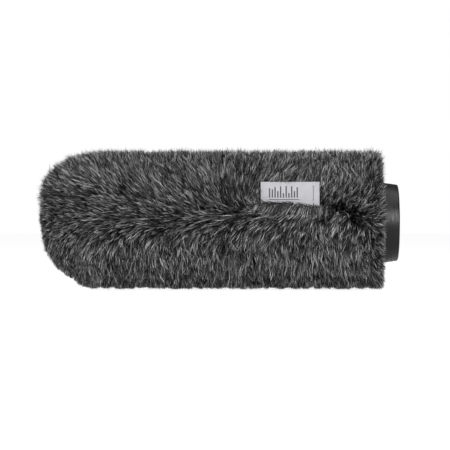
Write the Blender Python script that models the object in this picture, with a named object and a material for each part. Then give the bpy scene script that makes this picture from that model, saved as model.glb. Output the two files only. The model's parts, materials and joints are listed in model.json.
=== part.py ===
"""A slip-on furry windscreen for a short shotgun microphone, lying on its side.

A moulded rubber collar grips the microphone, a slotted tube and a domed nose of open-cell
foam hold the air space round it, and a sewn cover of long-pile fur in two panels goes over
both. The seam between the panels runs along both sides and over the dome.

Frame: +X towards the collar, +Z up, the label on the -Y side. The origin is at the centre of
the overall box, on the surface that the windscreen lies on. Sizes are in metres.
"""

import math

import bmesh
import bpy
import numpy as np
from mathutils import Matrix, Vector

# Driving sizes -------------------------------------------------------------------------------
CLEARANCE = 0.0003          # between pieces that touch

FOAM_RADIUS = 0.029         # foam tube, foam dome and the collar's widest part
TUBE_LENGTH = 0.178         # foam tube in front of the collar's shoulder
NOSE_STRAIGHT = 0.003       # straight part of the nose behind its dome
BORE_RADIUS = 0.0110        # microphone bore in the foam
SLOT_COUNT = 6              # air slots cut outwards from the bore
SLOT_WIDTH = 0.0050
SLOT_RADIUS = 0.0205        # how far out the slots reach
SLOT_SETBACK = 0.010        # uncut foam in front of the collar's spigot

COLLAR_BODY = 0.028         # collar at full diameter, from its rear face to its shoulder
COLLAR_TAPER_LENGTH = 0.013
COLLAR_REAR_RADIUS = 0.0272
COLLAR_WALL = 0.0032
COLLAR_EDGE = 0.0012        # rounding of the rear rim
SPIGOT_LENGTH = 0.018       # stub that the foam tube is glued onto
SPIGOT_RADIUS = 0.0215
SPIGOT_WALL = 0.0022
WEB_RECESS = 0.0045         # how deep the web sits inside the rear rim
WEB_THICKNESS = 0.0028
GRIP_RADIUS = 0.0095        # at the lips that hold a 19 to 22 mm microphone
GRIP_LENGTH = 0.026
GRIP_WALL = 0.0028
GRIP_DROP = 0.0012          # how far the sleeve's end stays below the rear rim
LIP_COUNT = 3
LIP_HEIGHT = 0.0009
RIB_COUNT = 8               # stiffening ribs on the rear of the web
RIB_WIDTH = 0.0016
RIB_DROP = 0.0018           # how far the ribs stay below the rear rim

BACKING_THICKNESS = 0.0012  # knitted backing of the fur
PILE_LENGTH = 0.0192        # height of the fur above its backing
COLLAR_SHOWN = 0.018        # collar left bare behind the backing's hem
PILE_OVERHANG = 0.0055      # how far the fur leans out behind the hem
PILE_EDGE = 0.006           # rounding of the fur's rear edge
REST_FLAT = 0.0018          # how far the fur is pressed in by what it lies on
SEAM_ANGLE = math.radians(12.5)  # how far above the middle the seam runs on the -Y side
SEAM_GAP_ROOT = 0.0034      # gap between the two panels' fur, at the backing
SEAM_GAP_TIP = 0.0120       # and at the fur's outer surface

HEM_TAPE_WIDTH = 0.0060
HEM_TAPE_THICKNESS = 0.0008
THREAD_RADIUS = 0.00025
SEAM_STITCH = 0.0050        # length of one zigzag stitch on the seam
SEAM_STITCH_REACH = 0.0008  # how far a stitch reaches to each side
HEM_STITCHES = 48           # zigzag points round the hem
HEM_STITCH_REACH = 0.0018

LABEL_WIDTH = 0.0412        # along the seam
LABEL_HEIGHT = 0.0190       # from the fold line to the free edge
LABEL_THICKNESS = 0.0006
LABEL_REAR = 0.0574         # from the collar's rear face to the label's nearer edge
LABEL_HINGE_DEPTH = 0.0055  # how far the fold line lies below the fur's surface
LABEL_LEAN = math.radians(5)  # how far the free edge leans in over the fur
LABEL_SPACE = 0.0008        # free space round the flap in the fur

ROUND_STEPS = 40            # steps of a full turn
DOME_STEPS = 8              # steps from a dome's edge to its tip
EDGE_STEPS = 3              # steps round a rounded edge
CUT_MARGIN = 0.003          # how far a cutter reaches past what it cuts

# Sizes that follow ---------------------------------------------------------------------------
BACKING_INNER = FOAM_RADIUS + CLEARANCE
BACKING_OUTER = BACKING_INNER + BACKING_THICKNESS
PILE_INNER = BACKING_OUTER + CLEARANCE
PILE_OUTER = PILE_INNER + PILE_LENGTH
HEM_OUTER = BACKING_OUTER + CLEARANCE + HEM_TAPE_THICKNESS
HEM_STITCH_RADIUS = HEM_OUTER + CLEARANCE + THREAD_RADIUS
HEM_CLEAR_RADIUS = HEM_STITCH_RADIUS + THREAD_RADIUS + CLEARANCE

SHOULDER_X = -COLLAR_BODY
SPIGOT_X = SHOULDER_X - SPIGOT_LENGTH
TUBE_FRONT_X = SHOULDER_X - TUBE_LENGTH
DOME_X = TUBE_FRONT_X - NOSE_STRAIGHT
HEM_X = -COLLAR_SHOWN
HEM_FRONT_X = HEM_X - HEM_TAPE_WIDTH
# The seam's gap opens the dome's tip, so the foremost fur is beside it.
NOSE_REACH = math.sqrt(PILE_OUTER**2 - (SEAM_GAP_TIP / 2) ** 2)
OVERALL_LENGTH = NOSE_REACH - DOME_X
AXIS_HEIGHT = PILE_OUTER - REST_FLAT

COLOURS = {
    "rubber": ((0.018, 0.018, 0.019), 0.42),
    "foam": ((0.055, 0.055, 0.058), 0.95),
    "backing": ((0.040, 0.040, 0.042), 0.90),
    "fur": ((0.060, 0.060, 0.060), 0.85),
    "thread": ((0.030, 0.030, 0.032), 0.70),
    "label": ((0.62, 0.62, 0.66), 0.45),
}


# Helpers -------------------------------------------------------------------------------------
def clear_scene():
    for old in list(bpy.data.objects):
        bpy.data.objects.remove(old)


def material(kind):
    """The Principled material of this kind, made once."""
    found = bpy.data.materials.get(kind)
    if found:
        return found
    colour, roughness = COLOURS[kind]
    made = bpy.data.materials.new(kind)
    made.use_nodes = True
    shader = made.node_tree.nodes["Principled BSDF"]
    shader.inputs["Base Color"].default_value = (*colour, 1.0)
    shader.inputs["Roughness"].default_value = roughness
    shader.inputs["Metallic"].default_value = 0.0
    return made


def add_object(name, data, parent, kind=None):
    """An object on the windscreen's axis, whose local origin is the collar's rear face."""
    made = bpy.data.objects.new(name, data)
    bpy.context.scene.collection.objects.link(made)
    made.parent = parent
    if kind:
        data.materials.append(material(kind))
    return made


def finish_mesh(name, shape, smooth=True):
    """A mesh from a bmesh, with its normals facing out."""
    bmesh.ops.remove_doubles(shape, verts=shape.verts, dist=1e-6)
    bmesh.ops.dissolve_degenerate(shape, dist=1e-7, edges=shape.edges)
    bmesh.ops.recalc_face_normals(shape, faces=shape.faces)
    mesh = bpy.data.meshes.new(name)
    shape.to_mesh(mesh)
    shape.free()
    if smooth:
        mesh.shade_smooth()
        mesh.set_sharp_from_angle(angle=math.radians(35))
    return mesh


def turned_mesh(name, profile, steps=ROUND_STEPS):
    """A closed outline of (x, radius) points, spun round the X axis."""
    shape = bmesh.new()
    verts = [shape.verts.new((x, 0.0, radius)) for x, radius in profile]
    pairs = zip(verts, verts[1:] + verts[:1])
    edges = [shape.edges.new(pair) for pair in pairs]
    bmesh.ops.spin(
        shape,
        geom=verts + edges,
        cent=(0.0, 0.0, 0.0),
        axis=(1.0, 0.0, 0.0),
        angle=math.tau,
        steps=steps,
        use_merge=True,
    )
    return finish_mesh(name, shape)


def arc(centre, radius, start, end, steps):
    """Points of a round stretch of a profile, from the start angle to the end angle."""
    angles = np.linspace(start, end, steps + 1)
    return [(centre[0] + radius * math.cos(a), centre[1] + radius * math.sin(a)) for a in angles]


def dome_profile(radius):
    """From a dome's edge to its tip on the axis. Every shell's dome has the same centre."""
    points = arc((DOME_X, 0.0), radius, math.pi / 2, math.pi, DOME_STEPS)
    return points[:-1] + [(DOME_X - radius, 0.0)]


def box_mesh(name, low, high):
    shape = bmesh.new()
    size = [b - a for a, b in zip(low, high)]
    middle = [(a + b) / 2 for a, b in zip(low, high)]
    place = Matrix.Translation(middle) @ Matrix.Diagonal((*size, 1.0))
    bmesh.ops.create_cube(shape, size=1.0, matrix=place)
    return finish_mesh(name, shape, smooth=False)


def add_cutter(name, mesh, parent):
    """A helper that shapes another piece and isn't one itself."""
    cutter = add_object(name, mesh, parent)
    cutter.hide_render = True
    cutter.display_type = "WIRE"
    return cutter


def add_boolean(target, cutter, operation):
    change = target.modifiers.new(cutter.name, "BOOLEAN")
    change.operation = operation
    change.solver = "EXACT"
    change.object = cutter


def seam_outline(radius, rear_x, side_step=None):
    """Points (x, y) of the seam's own line: along one side, round the dome, back along the other."""
    length = rear_x - DOME_X
    count = max(2, round(length / side_step)) if side_step else 1
    side = [(x, -radius) for x in np.linspace(rear_x, DOME_X, count + 1)]
    turn = max(DOME_STEPS * 2, round(math.pi * radius / side_step)) if side_step else DOME_STEPS * 2
    nose = arc((DOME_X, 0.0), radius, -math.pi / 2, -math.pi * 3 / 2, turn)
    back = [(x, -y) for x, y in reversed(side)]
    return side[:-1] + nose + back[1:]


def panel_keeper(name, parent, side, root_gap, tip_gap):
    """The region above (side 1) or below (side -1) the seam, with a gap that opens outwards."""
    reach = PILE_OUTER + CUT_MARGIN
    share = (reach - PILE_INNER) / (PILE_OUTER - PILE_INNER)
    far_gap = root_gap + (tip_gap - root_gap) * share
    shape = bmesh.new()
    loops = []
    levels = (
        (PILE_INNER, root_gap / 2),
        (reach, far_gap / 2),
        (reach, reach),
    )
    for radius, level in levels:
        outline = seam_outline(radius, CUT_MARGIN)
        loops.append([shape.verts.new((x, y, side * level)) for x, y in outline])
    for low, high in zip(loops, loops[1:]):
        for i in range(len(low)):
            j = (i + 1) % len(low)
            shape.faces.new((low[i], low[j], high[j], high[i]))
    shape.faces.new(loops[0])
    shape.faces.new(loops[-1])
    keeper = add_cutter(name, finish_mesh(name, shape, smooth=False), parent)
    keeper.rotation_euler.x = -SEAM_ANGLE
    return keeper


def thread_object(name, points, parent, closed=False):
    """A sewing thread along the points."""
    line = bpy.data.curves.new(name, "CURVE")
    line.dimensions = "3D"
    spline = line.splines.new("POLY")
    spline.points.add(len(points) - 1)
    for target, place in zip(spline.points, points):
        target.co = (*place, 1.0)
    spline.use_cyclic_u = closed
    line.bevel_depth = THREAD_RADIUS
    line.bevel_resolution = 0
    line.use_fill_caps = not closed
    return add_object(name, line, parent, "thread")


# Pieces --------------------------------------------------------------------------------------
def build_collar(parent):
    """The moulded rubber collar: tapered rim, web with ribs, grip sleeve with lips, spigot."""
    rim_inner = COLLAR_REAR_RADIUS - COLLAR_WALL
    web_rear = -WEB_RECESS
    web_front = web_rear - WEB_THICKNESS
    grip_outer = GRIP_RADIUS + LIP_HEIGHT + GRIP_WALL
    grip_rear = -GRIP_DROP
    grip_front = grip_rear - GRIP_LENGTH
    spigot_inner = SPIGOT_RADIUS - SPIGOT_WALL
    inner_edge = COLLAR_EDGE / 2
    edge_centre = (-COLLAR_EDGE, COLLAR_REAR_RADIUS - COLLAR_EDGE)
    profile = [(0.0, rim_inner + inner_edge)]
    profile += arc(edge_centre, COLLAR_EDGE, 0.0, math.pi / 2, EDGE_STEPS)
    profile += [
        (-COLLAR_TAPER_LENGTH, FOAM_RADIUS),
        (SHOULDER_X, FOAM_RADIUS),
        (SHOULDER_X, SPIGOT_RADIUS),
        (SPIGOT_X + COLLAR_EDGE, SPIGOT_RADIUS),
        (SPIGOT_X, SPIGOT_RADIUS - COLLAR_EDGE),
        (SPIGOT_X, spigot_inner),
        (web_front, spigot_inner),
        (web_front, grip_outer),
        (grip_front, grip_outer),
    ]
    pitch = GRIP_LENGTH / (LIP_COUNT + 1)
    profile.append((grip_front, GRIP_RADIUS + LIP_HEIGHT))
    for i in range(1, LIP_COUNT + 1):
        lip = grip_front + pitch * i
        profile += [
            (lip - LIP_HEIGHT, GRIP_RADIUS + LIP_HEIGHT),
            (lip, GRIP_RADIUS),
            (lip + LIP_HEIGHT, GRIP_RADIUS + LIP_HEIGHT),
        ]
    profile += [
        (grip_rear, GRIP_RADIUS + LIP_HEIGHT),
        (grip_rear, grip_outer),
        (web_rear, grip_outer),
        (web_rear, rim_inner),
        (-inner_edge, rim_inner),
    ]
    collar = add_object("rubber_collar", turned_mesh("rubber_collar", profile), parent, "rubber")
    for i in range(RIB_COUNT):
        low = (web_rear - inner_edge, -RIB_WIDTH / 2, grip_outer - inner_edge)
        high = (-RIB_DROP, RIB_WIDTH / 2, rim_inner + inner_edge)
        name = f"collar_rib_{i + 1}"
        rib = add_cutter(name, box_mesh(name, low, high), parent)
        rib.rotation_euler.x = math.tau * (i + 0.5) / RIB_COUNT
        add_boolean(collar, rib, "UNION")
    return collar


def build_foam(parent):
    """The slotted foam tube on the collar's spigot, and the domed plug that closes it."""
    rear = SHOULDER_X - CLEARANCE
    socket = SPIGOT_RADIUS + CLEARANCE
    socket_end = SPIGOT_X - CLEARANCE
    profile = [
        (rear, socket),
        (rear, FOAM_RADIUS),
        (TUBE_FRONT_X, FOAM_RADIUS),
        (TUBE_FRONT_X, BORE_RADIUS),
        (socket_end, BORE_RADIUS),
        (socket_end, socket),
    ]
    tube = add_object("foam_tube", turned_mesh("foam_tube", profile), parent, "foam")
    for i in range(SLOT_COUNT):
        low = (TUBE_FRONT_X - CUT_MARGIN, -SLOT_WIDTH / 2, BORE_RADIUS - CUT_MARGIN)
        high = (SPIGOT_X - SLOT_SETBACK, SLOT_WIDTH / 2, SLOT_RADIUS)
        name = f"air_slot_{i + 1}"
        slot = add_cutter(name, box_mesh(name, low, high), parent)
        slot.rotation_euler.x = math.tau * i / SLOT_COUNT
        add_boolean(tube, slot, "DIFFERENCE")
    back = TUBE_FRONT_X - CLEARANCE
    profile = [(back, 0.0), (back, FOAM_RADIUS)] + dome_profile(FOAM_RADIUS)
    nose = add_object("foam_nose", turned_mesh("foam_nose", profile), parent, "foam")
    return tube, nose


def build_backing(parent):
    """The two knitted panels that carry the fur, cut from one turned shell along the seam."""
    outer = [(HEM_X, BACKING_OUTER)] + dome_profile(BACKING_OUTER)
    inner = [(HEM_X, BACKING_INNER)] + dome_profile(BACKING_INNER)
    profile = outer + inner[::-1]
    for label, side in (("upper", 1), ("lower", -1)):
        name = f"fur_backing_{label}"
        panel = add_object(name, turned_mesh(name, profile), parent, "backing")
        keeper = panel_keeper(f"keep_backing_{label}", parent, side, CLEARANCE, CLEARANCE)
        add_boolean(panel, keeper, "INTERSECT")


def pile_profile():
    """The fur's cross-section: open over the hem, rounded at the rear, domed in front."""
    rear = HEM_X + PILE_OVERHANG
    hem_front = HEM_FRONT_X - CLEARANCE
    outer = arc((rear - PILE_EDGE, PILE_OUTER - PILE_EDGE), PILE_EDGE, 0.0, math.pi / 2, EDGE_STEPS)
    outer += dome_profile(PILE_OUTER)
    inner = [
        (HEM_X, HEM_CLEAR_RADIUS),
        (hem_front, HEM_CLEAR_RADIUS),
        (hem_front, PILE_INNER),
    ]
    inner += dome_profile(PILE_INNER)
    return outer + inner[::-1]


def build_pile(parent):
    """The fur on each panel, as a closed body of its brushed-out outer shape."""
    profile = pile_profile()
    fur = {}
    for label, side in (("upper", 1), ("lower", -1)):
        name = f"fur_pile_{label}"
        fur[label] = add_object(name, turned_mesh(name, profile), parent, "fur")
        keeper = panel_keeper(f"keep_pile_{label}", parent, side, SEAM_GAP_ROOT, SEAM_GAP_TIP)
        add_boolean(fur[label], keeper, "INTERSECT")
    return fur


def add_rest_flat(lower, parent):
    """Flattens the lower fur where the windscreen lies on a surface."""
    reach = PILE_OUTER + CUT_MARGIN
    low = (DOME_X - reach, -reach, -reach)
    high = (CUT_MARGIN, reach, -AXIS_HEIGHT)
    floor = add_cutter("rest_plane", box_mesh("rest_plane", low, high), parent)
    add_boolean(lower, floor, "DIFFERENCE")


def seam_frame(parent):
    """An empty turned into the seam's plane, in which the seam lies at z = 0."""
    frame = bpy.data.objects.new("seam_plane", None)
    bpy.context.scene.collection.objects.link(frame)
    frame.parent = parent
    frame.rotation_euler.x = -SEAM_ANGLE
    return frame


def build_threads(parent, seam):
    """The zigzag that joins the panels along the seam, and the one that holds the hem tape."""
    radius = BACKING_OUTER + CLEARANCE + THREAD_RADIUS
    start = HEM_FRONT_X - CLEARANCE - 2 * THREAD_RADIUS
    outline = seam_outline(radius, start, SEAM_STITCH / 2)
    points = [
        (x, y, SEAM_STITCH_REACH * (1 if i % 2 else -1)) for i, (x, y) in enumerate(outline)
    ]
    thread_object("seam_thread", points, seam)
    middle = (HEM_X + HEM_FRONT_X) / 2
    points = []
    for i in range(HEM_STITCHES):
        angle = math.tau * i / HEM_STITCHES
        x = middle + HEM_STITCH_REACH * (1 if i % 2 else -1)
        place = (x, HEM_STITCH_RADIUS * math.cos(angle), HEM_STITCH_RADIUS * math.sin(angle))
        points.append(place)
    thread_object("hem_thread", points, parent, closed=True)


def build_hem_tape(parent):
    """The woven tape that binds the backing's hem onto the collar."""
    inner = BACKING_OUTER + CLEARANCE
    profile = [(HEM_X, inner), (HEM_X, HEM_OUTER), (HEM_FRONT_X, HEM_OUTER), (HEM_FRONT_X, inner)]
    add_object("hem_tape", turned_mesh("hem_tape", profile), parent, "backing")


def label_hinge():
    """(y, z) of the label's fold line from the axis, in the seam's gap below the fur's surface."""
    radius = PILE_OUTER - LABEL_HINGE_DEPTH
    return -radius * math.cos(SEAM_ANGLE), radius * math.sin(SEAM_ANGLE)


def build_label(parent, seam, upper):
    """The woven label: a tail sewn into the seam and a flap that turns on its fold line."""
    rear = -LABEL_REAR
    front = rear - LABEL_WIDTH
    half = LABEL_THICKNESS / 2
    outer = PILE_OUTER - LABEL_HINGE_DEPTH - LABEL_THICKNESS - CLEARANCE
    inner = BACKING_OUTER + 2 * CLEARANCE + 2 * THREAD_RADIUS
    tail = box_mesh("label_tail", (front, -outer, -half), (rear, -inner, half))
    add_object("label_tail", tail, seam, "label")

    hinge_y, hinge_z = label_hinge()
    fold = bpy.data.objects.new("label_fold_line", None)
    bpy.context.scene.collection.objects.link(fold)
    fold.parent = parent
    fold.location = (0.0, hinge_y, hinge_z)
    fold.rotation_euler.x = -LABEL_LEAN
    flap = box_mesh("label_flap", (front, -half, CLEARANCE), (rear, half, LABEL_HEIGHT))
    add_object("label_flap", flap, fold, "label")

    space = LABEL_SPACE
    low = (front - space, -PILE_OUTER, -LABEL_HINGE_DEPTH)
    high = (rear + space, half + space, LABEL_HEIGHT + space)
    pocket = add_cutter("label_pocket", box_mesh("label_pocket", low, high), fold)
    add_boolean(upper, pocket, "DIFFERENCE")


def main():
    clear_scene()
    axis = bpy.data.objects.new("windscreen_axis", None)
    bpy.context.scene.collection.objects.link(axis)
    axis.location = Vector((OVERALL_LENGTH / 2, 0.0, AXIS_HEIGHT))
    seam = seam_frame(axis)
    build_collar(axis)
    build_foam(axis)
    build_backing(axis)
    build_hem_tape(axis)
    build_threads(axis, seam)
    fur = build_pile(axis)
    add_rest_flat(fur["lower"], axis)
    build_label(axis, seam, fur["upper"])


main()
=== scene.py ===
"""Looks of a slip-on furry windscreen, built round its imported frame.

The fur is made of tufts of tapered strands that follow a groomer's guide hairs, over a layer of
dense underfur. The rubber collar, woven label, hem tape, foam and threads are surfaces of their
own or carried-over solids with better finishes. Sizes are in metres.
"""

import json
import logging
import math
from dataclasses import dataclass
from enum import Enum

import bmesh
import bpy
import numpy as np
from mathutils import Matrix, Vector


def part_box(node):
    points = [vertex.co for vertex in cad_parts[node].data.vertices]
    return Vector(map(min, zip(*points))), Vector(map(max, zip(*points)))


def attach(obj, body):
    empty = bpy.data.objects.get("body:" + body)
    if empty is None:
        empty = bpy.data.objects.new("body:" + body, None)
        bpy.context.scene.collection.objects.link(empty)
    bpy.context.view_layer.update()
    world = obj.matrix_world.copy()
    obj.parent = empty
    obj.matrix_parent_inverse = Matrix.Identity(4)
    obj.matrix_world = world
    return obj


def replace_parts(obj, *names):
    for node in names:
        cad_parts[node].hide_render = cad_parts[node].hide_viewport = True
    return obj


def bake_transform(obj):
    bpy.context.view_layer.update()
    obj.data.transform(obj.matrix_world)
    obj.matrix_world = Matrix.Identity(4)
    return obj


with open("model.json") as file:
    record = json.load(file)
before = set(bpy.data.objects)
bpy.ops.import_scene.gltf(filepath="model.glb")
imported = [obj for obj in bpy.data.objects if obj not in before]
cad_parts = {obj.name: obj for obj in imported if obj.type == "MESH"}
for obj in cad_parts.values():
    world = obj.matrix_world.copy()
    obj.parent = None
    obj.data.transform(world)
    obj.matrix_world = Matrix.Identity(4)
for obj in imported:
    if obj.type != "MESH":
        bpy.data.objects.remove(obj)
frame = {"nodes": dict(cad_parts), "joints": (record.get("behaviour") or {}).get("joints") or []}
log = logging.getLogger("windscreen")

BODY = "windscreen"
BAKE_MAP = "OFBake"

Array = np.ndarray
Socket = bpy.types.NodeSocket


# Arrays and meshes ---------------------------------------------------------------------------
def unit(vectors: Array) -> Array:
    """Vectors divided by their own lengths, along the last axis."""
    return vectors / np.maximum(np.linalg.norm(vectors, axis=-1, keepdims=True), 1e-12)


def dot(first: Array, second: Array) -> Array:
    """Scalar products along the last axis, which is kept with length one."""
    return (first * second).sum(axis=-1, keepdims=True)


def smoothstep(low: float, high: float, value: Array) -> Array:
    """0 below low, 1 above high, and the cubic 3t^2 - 2t^3 between them."""
    t = np.clip((value - low) / (high - low), 0.0, 1.0)
    return t * t * (3.0 - 2.0 * t)


def mesh_from(name: str, points: Array, faces: Array, smooth: bool = True) -> bpy.types.Mesh:
    """Build a mesh whose faces all have the same number of corners.

    Args:
        name: The mesh's name.
        points: Vertex places, shape (n, 3).
        faces: Vertex numbers of each face, shape (m, corners).
        smooth: Whether its faces are shaded smooth.

    Returns:
        The mesh, with no object yet.
    """
    mesh = bpy.data.meshes.new(name)
    count, corners = faces.shape
    mesh.vertices.add(len(points))
    mesh.vertices.foreach_set("co", points.astype(np.float32).ravel())
    mesh.loops.add(count * corners)
    mesh.loops.foreach_set("vertex_index", faces.astype(np.int32).ravel())
    mesh.polygons.add(count)
    mesh.polygons.foreach_set("loop_start", np.arange(count, dtype=np.int32) * corners)
    mesh.polygons.foreach_set("use_smooth", np.full(count, smooth))
    mesh.update(calc_edges=True)
    return mesh


def grid_faces(rows: int, columns: int, close_rows: bool, close_columns: bool) -> Array:
    """Number the quads of a grid of points, row by row, whose ends may meet."""
    i = np.arange(rows if close_rows else rows - 1)[:, None]
    j = np.arange(columns if close_columns else columns - 1)[None, :]
    below, beside = (i + 1) % rows, (j + 1) % columns
    quads = [i * columns + j, i * columns + beside, below * columns + beside, below * columns + j]
    return np.stack(np.broadcast_arrays(*quads), axis=-1).reshape(-1, 4)


def rounded(outline: Array, cut: Array | float, steps: int = 5) -> Array:
    """Round the corners of a closed outline.

    Each corner P becomes the curve (1 - t)^2 A + 2 t (1 - t) P + t^2 B, where A and B lie on
    its two sides, as far from it as its cut.

    Args:
        outline: The corners, shape (n, 2).
        cut: How far from each corner its curve starts, one number or n of them.
        steps: Points on each curve.

    Returns:
        The rounded outline, shape (n * steps, 2).
    """
    reach = np.broadcast_to(cut, (len(outline),))[:, None]
    before = outline + unit(np.roll(outline, 1, axis=0) - outline) * reach
    after = outline + unit(np.roll(outline, -1, axis=0) - outline) * reach
    t = np.linspace(0.0, 1.0, steps)[None, :, None]
    curve = (1.0 - t) ** 2 * before[:, None] + 2.0 * t * (1.0 - t) * outline[:, None]
    return (curve + t**2 * after[:, None]).reshape(-1, 2)


def turned(profile: Array, turns: int) -> Array:
    """Carry an (x, radius) profile round the axis: (x, r cos a, r sin a), shape (n, turns, 3)."""
    angle = np.arange(turns) * math.tau / turns
    x = np.broadcast_to(profile[:, :1], (len(profile), turns))
    return np.stack([x, profile[:, 1:] * np.cos(angle), profile[:, 1:] * np.sin(angle)], axis=-1)


def from_column(angles: Array, count: int) -> Array:
    """How far each angle is from the nearest of a count of equally spaced ones, in radians."""
    pitch = math.tau / count
    return np.abs((angles + pitch / 2) % pitch - pitch / 2)


def add_piece(mesh: bpy.types.Mesh, finish: "Finish", body: str | None = BODY) -> bpy.types.Object:
    """Put a mesh into the scene as a piece.

    Args:
        mesh: The finished mesh, with its place in its vertices.
        finish: What it is made of.
        body: The body that it rides on, or None to leave it on no body.

    Returns:
        The new object, at the origin.
    """
    piece = bpy.data.objects.new(mesh.name, mesh)
    bpy.context.scene.collection.objects.link(piece)
    mesh.materials.append(finish.material())
    if body:
        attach(piece, body)
    return piece


def weld(mesh: bpy.types.Mesh, distance: float = 1e-6, sharp: float = math.radians(40)) -> None:
    """Merge a closed mesh's doubles, turn its faces outwards and mark its sharp edges."""
    shape = bmesh.new()
    shape.from_mesh(mesh)
    bmesh.ops.remove_doubles(shape, verts=shape.verts, dist=distance)
    bmesh.ops.dissolve_degenerate(shape, dist=distance, edges=shape.edges)
    bmesh.ops.recalc_face_normals(shape, faces=shape.faces)
    shape.to_mesh(mesh)
    shape.free()
    mesh.set_sharp_from_angle(angle=sharp)


def close_end(mesh: bpy.types.Mesh, row: int, columns: int) -> None:
    """Fill the open end of a thin shell, between the two halves of its last row."""
    shape = bmesh.new()
    shape.from_mesh(mesh)
    shape.verts.ensure_lookup_table()
    ring = shape.verts[row * columns : (row + 1) * columns]
    for i in range(columns // 2 - 1):
        shape.faces.new((ring[i], ring[i + 1], ring[columns - 2 - i], ring[columns - 1 - i]))
    shape.to_mesh(mesh)
    shape.free()


@dataclass(frozen=True)
class WaveNoise:
    """Smooth noise in space: the scaled sum of plane waves in random directions."""

    seed: int
    wavelength: float
    waves: int = 16

    def at(self, points: Array) -> Array:
        """Noise at each point, with a spread of about one.

        Args:
            points: Places, shape (..., 3).

        Returns:
            sqrt(2 / waves) times the sum of sin(k . p + phase), shape (...).
        """
        draw = np.random.default_rng(self.seed)
        waves = unit(draw.normal(size=(self.waves, 3))) * draw.uniform(0.6, 1.5, (self.waves, 1))
        phases = draw.uniform(0.0, math.tau, self.waves)
        turns = points @ (waves.T * math.tau / self.wavelength) + phases
        return np.sin(turns).sum(axis=-1) * math.sqrt(2.0 / self.waves)


# Finishes ------------------------------------------------------------------------------------
class Nodes:
    """A material's node tree, with short calls for the nodes that the finishes share."""

    def __init__(self, name: str) -> None:
        """Start a new material with a Principled shader and nothing else."""
        self.made = bpy.data.materials.new(name)
        self.made.use_nodes = True
        self.tree = self.made.node_tree
        self.shader = self.tree.nodes["Principled BSDF"]

    def add(self, kind: str, **settings: object) -> bpy.types.Node:
        """Add a node and set its own properties."""
        node = self.tree.nodes.new(f"ShaderNode{kind}")
        for name, value in settings.items():
            setattr(node, name, value)
        return node

    def link(self, output: Socket, socket: Socket) -> None:
        """Join an output to an input."""
        self.tree.links.new(output, socket)

    def put(self, **values: object) -> None:
        """Set the shader's own sockets, named with underscores for spaces."""
        for name, value in values.items():
            self.shader.inputs[name.replace("_", " ")].default_value = value

    def place(self) -> Socket:
        """The Object coordinates, in metres."""
        return self.add("TexCoord").outputs["Object"]

    def noise(self, scale: float, detail: float = 3.0, place: object = None) -> Socket:
        """Noise of this many cycles per metre, from 0 to 1."""
        node = self.add("TexNoise")
        node.inputs["Scale"].default_value = scale
        node.inputs["Detail"].default_value = detail
        self.link(place or self.place(), node.inputs["Vector"])
        return node.outputs["Fac"]

    def maths(self, operation: str, *values: object) -> Socket:
        """One sum of up to three numbers or sockets."""
        node = self.add("Math", operation=operation)
        for socket, value in zip(node.inputs, values):
            if isinstance(value, Socket):
                self.link(value, socket)
            else:
                socket.default_value = value
        return node.outputs[0]

    def product(self, first: Socket, *others: Socket) -> Socket:
        """All the factors multiplied together."""
        for factor in others:
            first = self.maths("MULTIPLY", first, factor)
        return first

    def between(self, value: Socket, low: float, high: float) -> Socket:
        """1 where the value lies between two limits, and 0 elsewhere."""
        return self.product(self.maths("GREATER_THAN", value, low), self.maths("LESS_THAN", value, high))

    def ramp(self, value: Socket, stops: list[tuple]) -> Socket:
        """A colour ramp of (place, grey or colour) stops."""
        node = self.add("ValToRGB")
        bar = node.color_ramp
        while len(bar.elements) < len(stops):
            bar.elements.new(1.0)
        for element, (at, colour) in zip(bar.elements, stops):
            element.position = at
            grey = isinstance(colour, float)
            element.color = (colour, colour, colour, 1.0) if grey else (*colour, 1.0)
        self.link(value, node.inputs["Fac"])
        return node.outputs["Color"]

    def mix(self, blend: str, share: object, first: object, second: object) -> Socket:
        """Two colours or sockets mixed by a share."""
        node = self.add("Mix", data_type="RGBA", blend_type=blend)
        for place, value in ((0, share), (6, first), (7, second)):
            socket = node.inputs[place]
            if isinstance(value, Socket):
                self.link(value, socket)
            else:
                socket.default_value = value if isinstance(value, float) else (*value, 1.0)
        return node.outputs[2]

    def colour(self, socket: Socket) -> None:
        """Feed the shader's base colour."""
        self.link(socket, self.shader.inputs["Base Color"])

    def roughness(self, socket: Socket) -> None:
        """Feed the shader's roughness."""
        self.link(socket, self.shader.inputs["Roughness"])

    def bump(self, height: Socket, distance: float, strength: float = 1.0) -> None:
        """Feed the shader's normal from a height of 0 to 1 over this distance."""
        node = self.add("Bump")
        node.inputs["Distance"].default_value = distance
        node.inputs["Strength"].default_value = strength
        self.link(height, node.inputs["Height"])
        self.link(node.outputs["Normal"], self.shader.inputs["Normal"])


@dataclass(frozen=True)
class Finish:
    """A material of the record's slot, made once and shared."""

    name: str
    slot: str

    def material(self) -> bpy.types.Material:
        """The finish's material, built on first use."""
        found = bpy.data.materials.get(self.name)
        if found:
            return found
        nodes = Nodes(self.name)
        self.build(nodes)
        return nodes.made

    def build(self, nodes: Nodes) -> None:
        """Fill in the node tree."""
        raise NotImplementedError


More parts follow.
